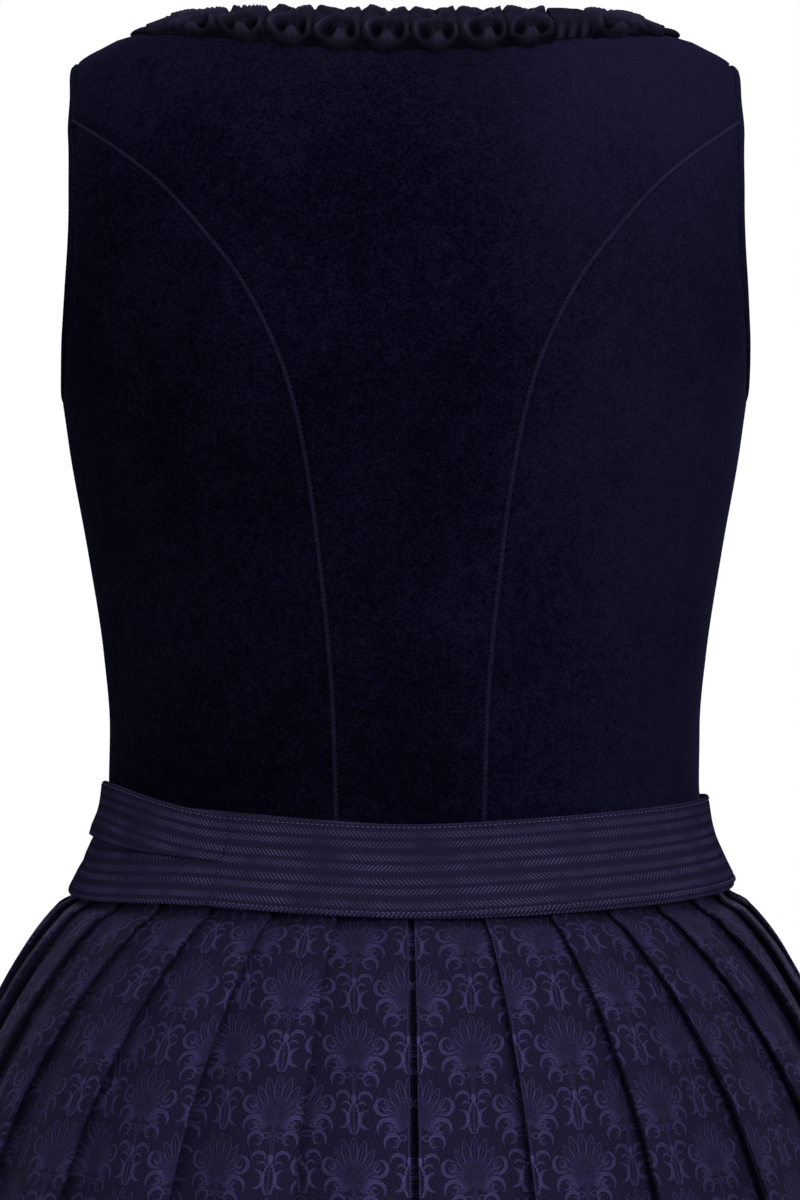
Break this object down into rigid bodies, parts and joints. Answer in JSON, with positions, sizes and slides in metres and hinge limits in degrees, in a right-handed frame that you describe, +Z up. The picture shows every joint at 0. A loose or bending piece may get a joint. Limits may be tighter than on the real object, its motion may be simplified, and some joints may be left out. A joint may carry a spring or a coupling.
{
  "type": "dirndl dress with apron",
  "caption": "Sleeveless velvet dirndl with a ruched neckline trim, a knife-pleated jacquard skirt and a striped apron tied in a bow.",
  "frame": {"origin": "midway between the tops of the two shoulder straps, where the wearer carries the garment", "axes": "+Z up, -Y is the way the wearer faces, +X is the wearer's left"},
  "size_m": [0.7896, 0.7357, 1.035],
  "materials": {
    "bodice_velvet": "dark navy cotton velvet",
    "trim_cloth": "matte dark navy plain weave",
    "skirt_jacquard": "navy jacquard with a raised satin palmette figure",
    "apron_stripe": "navy jacquard with shiny rows of ears"
  },
  "bodies": {
    "root": {"back_centre": "bodice_velvet", "back_side_left": "bodice_velvet", "back_side_right": "bodice_velvet", "front_side_left": "bodice_velvet", "front_side_right": "bodice_velvet", "front_centre_left": "bodice_velvet", "front_centre_right": "bodice_velvet", "front_placket": "bodice_velvet", "armhole_binding_left": "bodice_velvet", "armhole_binding_right": "bodice_velvet", "button_1": "bodice_velvet", "button_2": "bodice_velvet", "button_3": "bodice_velvet", "button_4": "bodice_velvet", "button_5": "bodice_velvet", "button_6": "bodice_velvet", "button_7": "bodice_velvet", "button_8": "bodice_velvet", "neck_trim_long": "trim_cloth", "neck_trim_short": "trim_cloth", "neck_trim_tab": "trim_cloth", "skirt_back_left": "skirt_jacquard", "skirt_back_right": "skirt_jacquard", "skirt_front_left": "skirt_jacquard", "skirt_front_right": "skirt_jacquard", "apron_panel": "apron_stripe", "apron_band": "apron_stripe", "apron_tie_left": "apron_stripe", "apron_tie_under": "apron_stripe", "bow_knot": "apron_stripe", "bow_loop_front": "apron_stripe", "bow_loop_side": "apron_stripe", "bow_tail_front": "apron_stripe", "bow_tail_side": "apron_stripe"}
  },
  "joints": []
}
